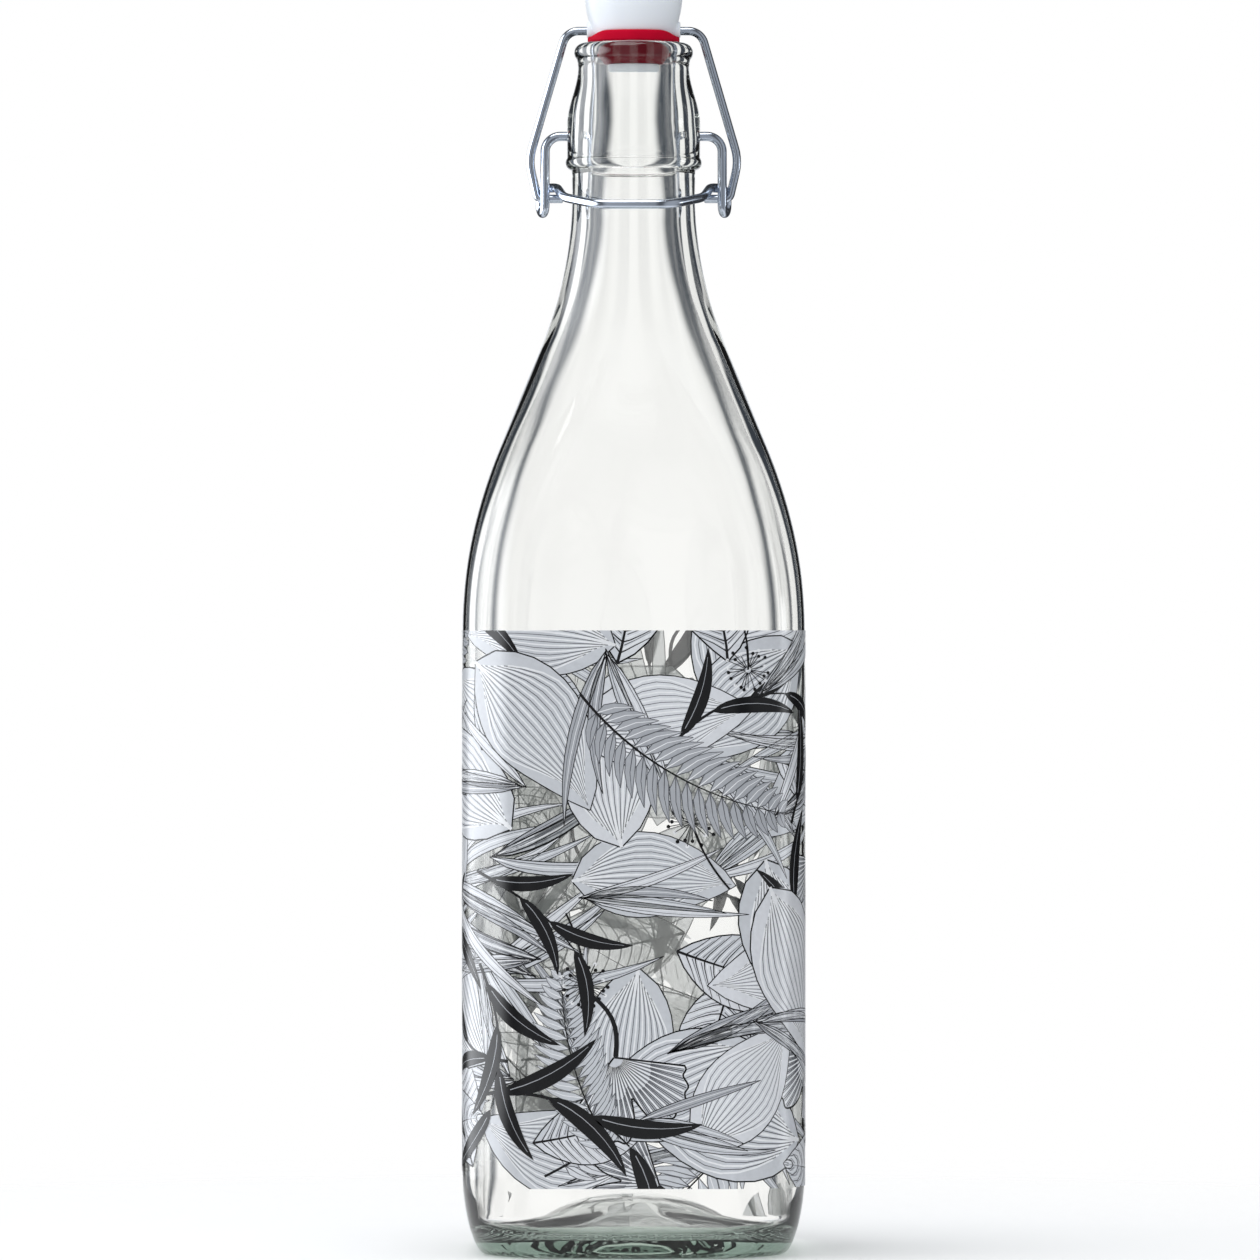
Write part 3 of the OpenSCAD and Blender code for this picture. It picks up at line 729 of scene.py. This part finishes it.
lever_half = wire_path(
    [
        (COLLAR_R - SOCKET_DEPTH + 0.3, 0, PIVOT_Z),
        (LEG_X, 0, PIVOT_Z),
        (LEG_X, 0, PIVOT_Z - LEG_STRAIGHT),
        (LEG_X, -EYE_R, PIVOT_Z - LEG_DROP),
        (LEG_X, -EYE_R, HAIRPIN_Z),
        (LEG_X + HAIRPIN_SPREAD, EYE_R, HAIRPIN_Z),
        (LEG_X + HAIRPIN_SPREAD, EYE_R, CROSS_Z),
        (WRAP_R * math.cos(WRAP_START), -WRAP_R * math.sin(WRAP_START), CROSS_Z),
        (WRAP_R * math.cos(WRAP_END), -WRAP_R * math.sin(WRAP_END), CROSS_Z - WRAP_DROP),
        (BAR_HALF, BAR_Y, BAR_Z),
        (0, BAR_Y, BAR_Z),
    ],
    [0, 3.8, 5, 5, EYE_R, EYE_R, EYE_R, 3.8, 8, 8, 0],
)
wire_piece("lever", lever_half, LEVER_R, steel_material("drawn_steel_lever"),
           "lever", "lever_wire")

# ---------------------------------------------------------------- bail wire
# The bail is a second, slightly thinner steel wire. It runs straight through the
# stopper, spreads down both sides and hooks inwards through the lever's hairpins.
HOLE_Z = RIM + 3
BAIL_X = LEG_X + LEVER_R + 1.85 + BAIL_R
HOOK_LEAN, HOOK_RISE = 2.2, 9.6
BAIL_TOP_X = 16.65
bail_half = wire_path(
    [
        (BEAD_R + 0.6, 0, HOOK_Z),
        (BAIL_X - HOOK_LEAN, 0, HOOK_Z),
        (BAIL_X, 0, HOOK_Z + HOOK_RISE),
        (BAIL_TOP_X, 0, HOLE_Z),
        (0, 0, HOLE_Z),
    ],
    [0, 1.6, 12, 4, 0],
)
wire_piece("bail", bail_half, BAIL_R, steel_material("drawn_steel_bail"),
           "bail", "bail_wire")

# ---------------------------------------------------------------- gasket
# The gasket is a moulded red rubber ring on the stopper's stem. Its plug tapers into
# the mouth, and its edge stands up in front and behind but dips under the wire.
FLANGE_GAP, FLANGE_H = 0.07, 1.4
SEAT_Z = RIM + FLANGE_GAP + FLANGE_H
GASKET_R = 11.4
EDGE_H, EDGE_W = 2.8, 1.2
NOTCH_HALF, NOTCH_SLOPE = 3.5, 5.5
PLUG_R, PLUG_DEPTH, PLUG_TAPER = MOUTH_R - 0.4, 5, 1.9
STEM_R = 4
# the last red is painted shade, for the plug down in the mouth where little light reaches
RED, DEEP_RED, MOUTH_SHADE_RED = (0.58, 0.004, 0.03, 1), (0.46, 0.002, 0.02, 1), (0.18, 0.002, 0.010, 1)


def gasket_section(angle):
    """Profile (radius, height above the rim) of the gasket at an angle round it."""
    edge_middle = GASKET_R - EDGE_W / 2
    raised = smooth((abs(math.sin(angle)) * GASKET_R - NOTCH_HALF - 0.2) / NOTCH_SLOPE)
    top = mix(SEAT_Z - RIM, EDGE_H, raised)
    round_r = mix(0.3, EDGE_W / 2, raised)
    seat = SEAT_Z - RIM - 0.0005
    profile = [(STEM_R + 0.05, -PLUG_DEPTH), (PLUG_R - 2.3, -PLUG_DEPTH), (PLUG_R - 2, 0.3 - PLUG_DEPTH)]
    profile += [(mix(PLUG_R - PLUG_TAPER, PLUG_R, t / 6), mix(0.6 - PLUG_DEPTH, -0.1, t / 6))
                for t in range(7)]
    profile += [(PLUG_R + 0.05, FLANGE_GAP)]
    profile += arc(GASKET_R - 0.5, FLANGE_GAP + 0.5, 0.5, -90, 0, 5)
    profile += arc(edge_middle + (EDGE_W / 2 - round_r), top - round_r, round_r, 0, 90, 5)
    profile += arc(GASKET_R - EDGE_W + round_r, top - round_r, round_r, 90, 180, 5)
    profile += [(GASKET_R - EDGE_W, seat), (STEM_R + 0.05, seat)]
    return profile


def ring_piece(name, section, steps, material, body, smooth_angle=None):
    """A closed ring swept round the axis from a section that may change with the angle."""
    rows = [section(2 * math.pi * i / steps) for i in range(steps)]
    size = len(rows[0])
    points = []
    for i, row in enumerate(rows):
        a = 2 * math.pi * i / steps
        points += [(r * math.cos(a), r * math.sin(a), RIM + z) for r, z in row]
    faces = []
    for i in range(steps):
        for j in range(size):
            a, b = i * size, (i + 1) % steps * size
            faces.append((a + j, b + j, b + (j + 1) % size, a + (j + 1) % size))
    return mesh_piece(name, points, faces, material, body, smooth_angle)


def rubber_material():
    material, tree, rubber, add = shader("red_rubber")
    place = add("ShaderNodeTexCoord").outputs["Object"]
    tone = two_tone(add, noise(add, place, 180, 3), DEEP_RED, RED)
    # painted shade: the plug is darker down in the mouth, where little light reaches it
    height = add("ShaderNodeSeparateXYZ", {0: place}).outputs[2]
    sunk = ramp(add, height, ((RIM - 1.2) * MM, (RIM + 0.6) * MM), (1, 0))
    tree.links.new(two_tone(add, sunk, tone, MOUTH_SHADE_RED), rubber.inputs["Base Color"])
    rubber.inputs["Roughness"].default_value = 0.45
    rubber.inputs["Specular IOR Level"].default_value = 0.03
    add_bump(tree, add, rubber, noise(add, place, 2500, 2), 0.3, 0.04 * MM)
    return material


gasket = ring_piece("gasket_ring", gasket_section, 128, rubber_material(), "stopper", smooth_angle=60)
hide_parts("gasket")

# ---------------------------------------------------------------- stopper
# The stopper is moulded in cool white plastic: a flared, domed head with two ears round
# the wire's cross hole, a stem through the gasket, and a button that keeps it on.
HEAD_BASE_R, HEAD_R = 9.9, 12.1
HEAD_SIDE, HEAD_CROWN, HEAD_ROUND = 10.5, 6.5, 4
FOOT_R, FOOT_TOP, FOOT_H = 6.3, -5.05, 3
EAR_R, EAR_START, EAR_REACH, EAR_STEPS = 2.4, 8, 11.6, 48
COOL_WHITE, PALE_WHITE = (0.84, 0.885, 0.95, 1), (0.88, 0.915, 0.97, 1)


def stopper_section(angle):
    """Profile (radius, height above the rim) of button, stem and head, the same at every angle."""
    seat, button = SEAT_Z - RIM, FOOT_TOP - FOOT_H
    crown_x, crown_z = HEAD_R - HEAD_ROUND, seat + HEAD_SIDE
    dome_r = (crown_x**2 + HEAD_CROWN**2 - HEAD_ROUND**2) / (2 * (HEAD_CROWN - HEAD_ROUND))
    dome_z = crown_z + HEAD_CROWN - dome_r
    lean = math.degrees(math.atan2(crown_z - dome_z, crown_x))
    profile = [(0.01, button), (FOOT_R - 0.9, button)]
    profile += arc(FOOT_R - 0.7, button + 0.7, 0.7, -80, 0, 5)
    profile += arc(FOOT_R - 0.3, FOOT_TOP - 0.3, 0.3, 0, 90, 3)
    profile += [(STEM_R, FOOT_TOP), (STEM_R, seat), (HEAD_BASE_R - 0.3, seat), (HEAD_BASE_R, seat + 0.25)]
    profile += [(mix(HEAD_BASE_R, HEAD_R, math.sin(math.pi / 2 * i / 16)), seat + HEAD_SIDE * i / 16)
                for i in range(1, 17)]
    profile += arc(crown_x, crown_z, HEAD_ROUND, 8, lean, 8)
    profile += arc(0, dome_z, dome_r, lean + 3, 89.9, 12)
    return profile


def ear_skin(side):
    """One round ear from inside the head to its softened end, cut off level with the seat."""
    angles = [2 * math.pi * j / EAR_STEPS for j in range(EAR_STEPS)]
    rounding = [(EAR_START, 0), (EAR_REACH - 0.5, 0), (EAR_REACH - 0.15, 0.18), (EAR_REACH, 0.6)]
    rows = []
    for reach, less in rounding:
        r = EAR_R - less
        rows.append([(side * reach, r * math.cos(a), max(HOLE_Z + r * math.sin(a), SEAT_Z + 0.01))
                     for a in angles])
    points, faces = closed_skin(rows, (side * EAR_START, 0, HOLE_Z), (side * EAR_REACH, 0, HOLE_Z))
    return points, faces if side > 0 else [face[::-1] for face in faces]


def stopper_material():
    material, tree, plastic, add = shader("white_stopper")
    place = add("ShaderNodeTexCoord").outputs["Object"]
    tone = two_tone(add, noise(add, place, 90, 2), COOL_WHITE, PALE_WHITE)
    tree.links.new(tone, plastic.inputs["Base Color"])
    plastic.inputs["Roughness"].default_value = 0.3
    plastic.inputs["Subsurface Weight"].default_value = 0.15
    plastic.inputs["Subsurface Radius"].default_value = (0.002, 0.002, 0.0025)
    plastic.inputs["Specular IOR Level"].default_value = 0.2
    add_bump(tree, add, plastic, noise(add, place, 600, 3), 0.12, 0.06 * MM)
    return material


head = ring_piece("stopper_head", stopper_section, 128, stopper_material(), "stopper")
ear_points, ear_faces = [], []
for side in (-1, 1):
    points, faces = ear_skin(side)
    ear_faces += [tuple(len(ear_points) + i for i in face) for face in faces]
    ear_points += points
ears = mesh_piece("stopper_ears", ear_points, ear_faces, head.data.materials[0], "stopper")
for piece in (head, ears):
    cut_rod(piece, BAIL_R + 0.08, [(-14, 0, HOLE_Z), (14, 0, HOLE_Z)])
    piece.data.set_sharp_from_angle(angle=math.radians(42))
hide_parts("stopper")

# ---------------------------------------------------------------- floor, light and camera
# A small pale floor fades into a white backdrop. Tall bright and dark panels all round
# draw the edges of the glass, soft boxes mirror in it and in the wires, and one soft
# lamp overhead lights the print and the stopper.
FLOOR_R, FLOOR_DROP = 0.9, 0.0002
FADE_START, FADE_END = 0.10, 0.42
PANELS = 8
DARK_PANEL, BRIGHT_PANEL = (0.02, 0.03, 0.045, 1), (1, 0.995, 0.975, 1)
SOFT_BOX, MIRROR_BOX, WHITE = (0.96, 0.98, 1, 1), (0.93, 0.96, 1, 1), (1, 1, 1, 1)
LAMP_PLACE, LAMP_SIZE, LAMP_POWER = (-0.2, -0.3, 1.5), 0.9, 8
LAMP_AIM = (0, 0, 0.16)
CAMERA_PLACE, LENS = (-0.0009, -2.3, 0.1535), 265

bpy.ops.mesh.primitive_circle_add(vertices=96, radius=FLOOR_R, fill_type="TRIFAN",
                                  location=(0, 0, -FLOOR_DROP))
floor = bpy.context.object
floor.name = "pale_floor"
floor_material, floor_tree, floor_shader, add_floor = shader("pale_floor")
floor_shader.inputs["Roughness"].default_value = 0.9
floor_shader.inputs["Base Color"].default_value = (0.95, 0.95, 0.95, 1)
floor_place = add_floor("ShaderNodeTexCoord").outputs["Object"]
from_middle = add_floor("ShaderNodeVectorMath", {0: floor_place}, operation="LENGTH").outputs["Value"]
fade = ramp(add_floor, from_middle, (FADE_START, FADE_END), (0, 1), "SMOOTHSTEP")
nothing = add_floor("ShaderNodeBsdfTransparent")
faded = add_floor("ShaderNodeMixShader", {0: fade, 1: floor_shader.outputs[0], 2: nothing.outputs[0]})
floor_tree.links.new(faded.outputs[0], floor_tree.nodes["Material Output"].inputs["Surface"])
floor.data.materials.append(floor_material)

world = bpy.data.worlds.new("studio")
bpy.context.scene.world = world
world.use_nodes = True
world.node_tree.nodes.clear()
add_sky = adder(world.node_tree)
look = add_sky("ShaderNodeSeparateXYZ", {0: add_sky("ShaderNodeTexCoord").outputs["Generated"]})
look_x, look_y, look_z = look.outputs
ray = add_sky("ShaderNodeLightPath")


def light_from(colour, strength=1):
    return add_sky("ShaderNodeBackground", {0: colour, 1: strength}).outputs[0]


def for_rays(kind, chosen, otherwise):
    """Gives one kind of ray a sky of its own."""
    return add_sky("ShaderNodeMixShader", {0: ray.outputs[kind], 1: otherwise, 2: chosen}).outputs[0]


# seen through the glass: tall panels all round, and a bright top
around = calculate(add_sky, "ARCTAN2", look_y, look_x)
wave = calculate(add_sky, "COSINE", calculate(add_sky, "MULTIPLY", around, PANELS))
panels = ramp(add_sky, wave, (-0.25, 0.5), (0.03, 1), "SMOOTHSTEP")
bright = calculate(add_sky, "MAXIMUM", panels, ramp(add_sky, look_z, (0.35, 0.7), (0, 1)))
panel_light = light_from(two_tone(add_sky, bright, DARK_PANEL, BRIGHT_PANEL))
# falling on the piece: soft light, stronger from the left
soft_light = light_from(SOFT_BOX, ramp(add_sky, look_x, (-0.8, 0.8), (1.12, 0.56)))
# mirrored: a wide soft box on the left, a narrow one on the right, screens in front, the backdrop behind
left_box = ramp(add_sky, look_x, (-0.66, -0.88), (0, 4.8), "SMOOTHSTEP")
right_box = ramp(add_sky, look_x, (0.985, 0.998), (0, 3.2), "SMOOTHSTEP")
behind = ramp(add_sky, look_y, (0.92, 0.99), (0.04, 1), "SMOOTHSTEP")
stripe = calculate(add_sky, "COSINE", calculate(add_sky, "MULTIPLY_ADD", look_x, 7, 1.2))
screens = ramp(add_sky, stripe, (-0.8, 0.3), (0.1, 0.46))
front = ramp(add_sky, look_y, (0.3, -0.2), (0, screens))
boxes = calculate(add_sky, "ADD", left_box, right_box)
mirrored = calculate(add_sky, "MAXIMUM", boxes, calculate(add_sky, "MAXIMUM", front, behind))
mirror_light = light_from(MIRROR_BOX, mirrored)
sky = for_rays("Is Glossy Ray", mirror_light, soft_light)
sky = for_rays("Is Transmission Ray", panel_light, sky)
sky = for_rays("Is Camera Ray", light_from(WHITE), sky)
add_sky("ShaderNodeOutputWorld", {0: sky})

lamp_light = bpy.data.lights.new("top_lamp", "AREA")
lamp_light.shape = "RECTANGLE"
lamp_light.size = lamp_light.size_y = LAMP_SIZE
lamp_light.energy = LAMP_POWER
lamp = bpy.data.objects.new("top_lamp", lamp_light)
lamp.location = LAMP_PLACE
lamp.rotation_euler = (Vector(LAMP_AIM) - Vector(LAMP_PLACE)).to_track_quat("-Z", "Y").to_euler()
bpy.context.scene.collection.objects.link(lamp)

camera = bpy.data.cameras.new("camera")
camera.sensor_width = 36
camera.lens = LENS
camera.clip_start = 0.05
view = bpy.data.objects.new("camera", camera)
view.location = CAMERA_PLACE
view.rotation_euler = (math.radians(90), 0, 0)
bpy.context.scene.collection.objects.link(view)
bpy.context.scene.camera = view
bpy.context.scene.view_settings.view_transform = "Standard"
